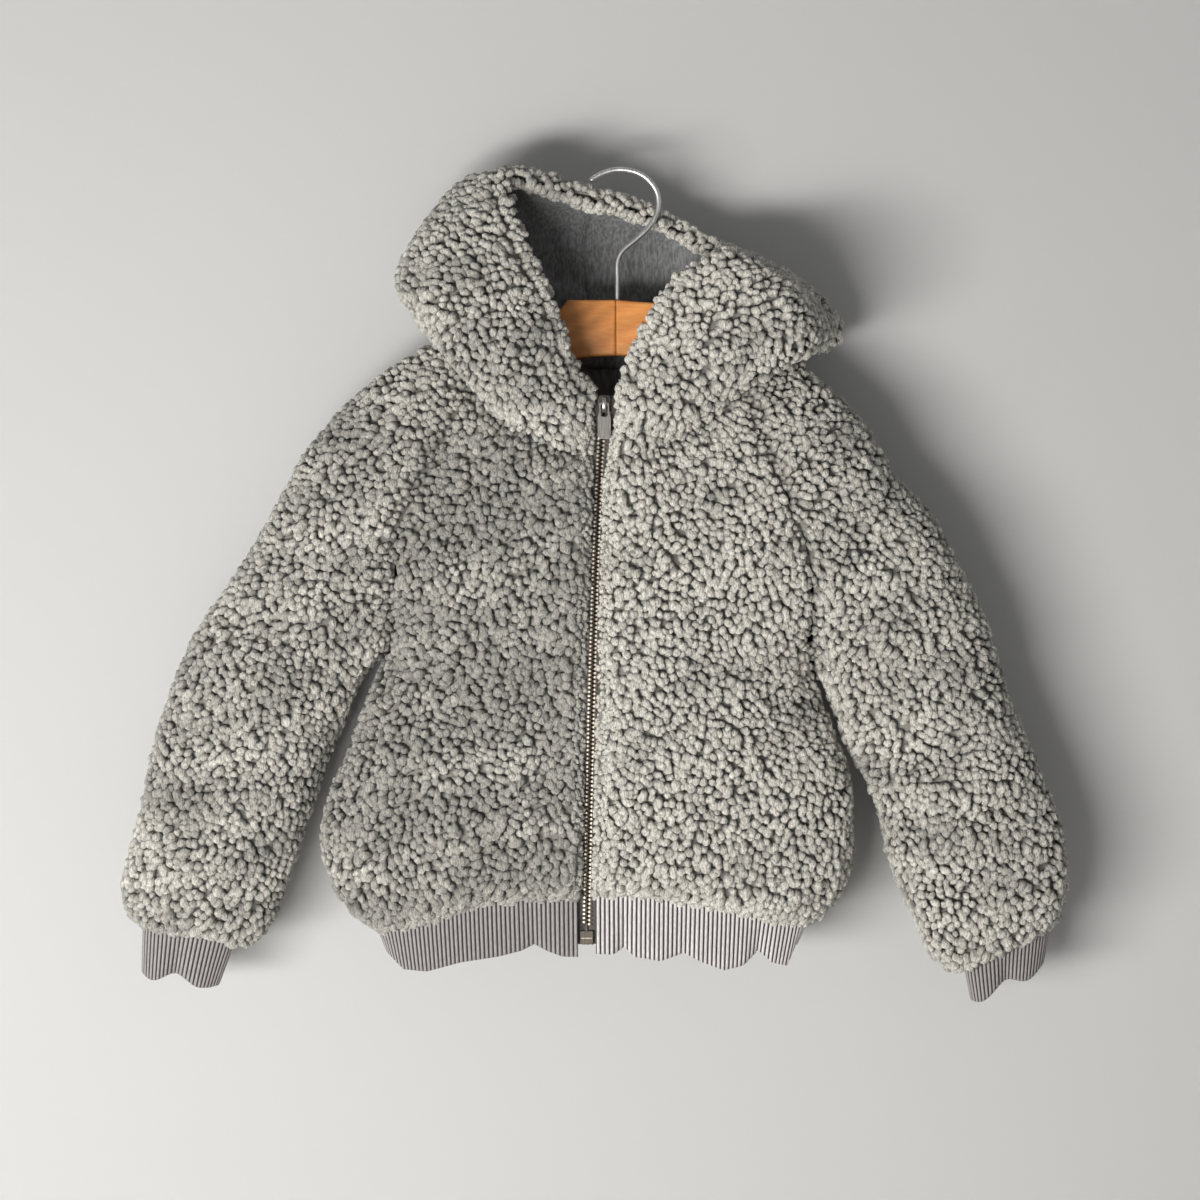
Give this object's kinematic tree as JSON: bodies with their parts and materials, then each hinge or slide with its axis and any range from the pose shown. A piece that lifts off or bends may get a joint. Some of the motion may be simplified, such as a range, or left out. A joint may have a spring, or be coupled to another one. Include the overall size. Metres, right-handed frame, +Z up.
{
  "type": "hooded fleece jacket on a hanger",
  "caption": "Small child's hooded raglan jacket of curly pile fleece, zipped up, with rib hem and cuffs, hanging on a flat wooden hanger with a wire hook.",
  "frame": {"origin": "inner top of the hanger's hook, where it bears on the nail, peg or rail that holds it", "axes": "+X towards the wearer's left sleeve, +Y from the front of the jacket to its back, +Z up"},
  "size_m": [0.647, 0.1154, 0.5732],
  "materials": {
    "fleece": "matt curly pile, pale warm grey tips over darker roots",
    "jersey": "matt heather-grey jersey",
    "rib_knit": "matt marled rib knit",
    "zip_tape": "matt woven tape",
    "zip_teeth": "antique bronze, worn bright on the crowns",
    "zip_metal": "satin nickel",
    "wood": "satin lacquered wood",
    "hook_steel": "polished steel wire"
  },
  "bodies": {
    "garment": {"front_right": "fleece", "front_left": "fleece", "back": "fleece", "sleeve_right": "fleece", "sleeve_left": "fleece", "hood_right": "fleece", "hood_left": "fleece", "hood_lining_right": "jersey", "hood_lining_left": "jersey", "back_lining": "jersey", "hem_rib_right": "rib_knit", "hem_rib_left": "rib_knit", "cuff_right": "rib_knit", "cuff_left": "rib_knit", "zip_tape_right": "zip_tape", "zip_tape_left": "zip_tape", "zip_chain": "zip_teeth", "zip_box": "zip_teeth", "zip_slider": "zip_metal", "hanger_wood_right": "wood", "hanger_wood_left": "wood", "hanger_hook": "hook_steel"},
    "pull": {"zip_pull": "zip_metal"}
  },
  "joints": [
    {"name": "pull_swing", "type": "hinge", "parent": "garment", "child": "pull", "pos_m": [-0.00869, -0.04642, -0.1611], "axis": [-1, 0, 0], "range_deg": [0, 150]}
  ]
}
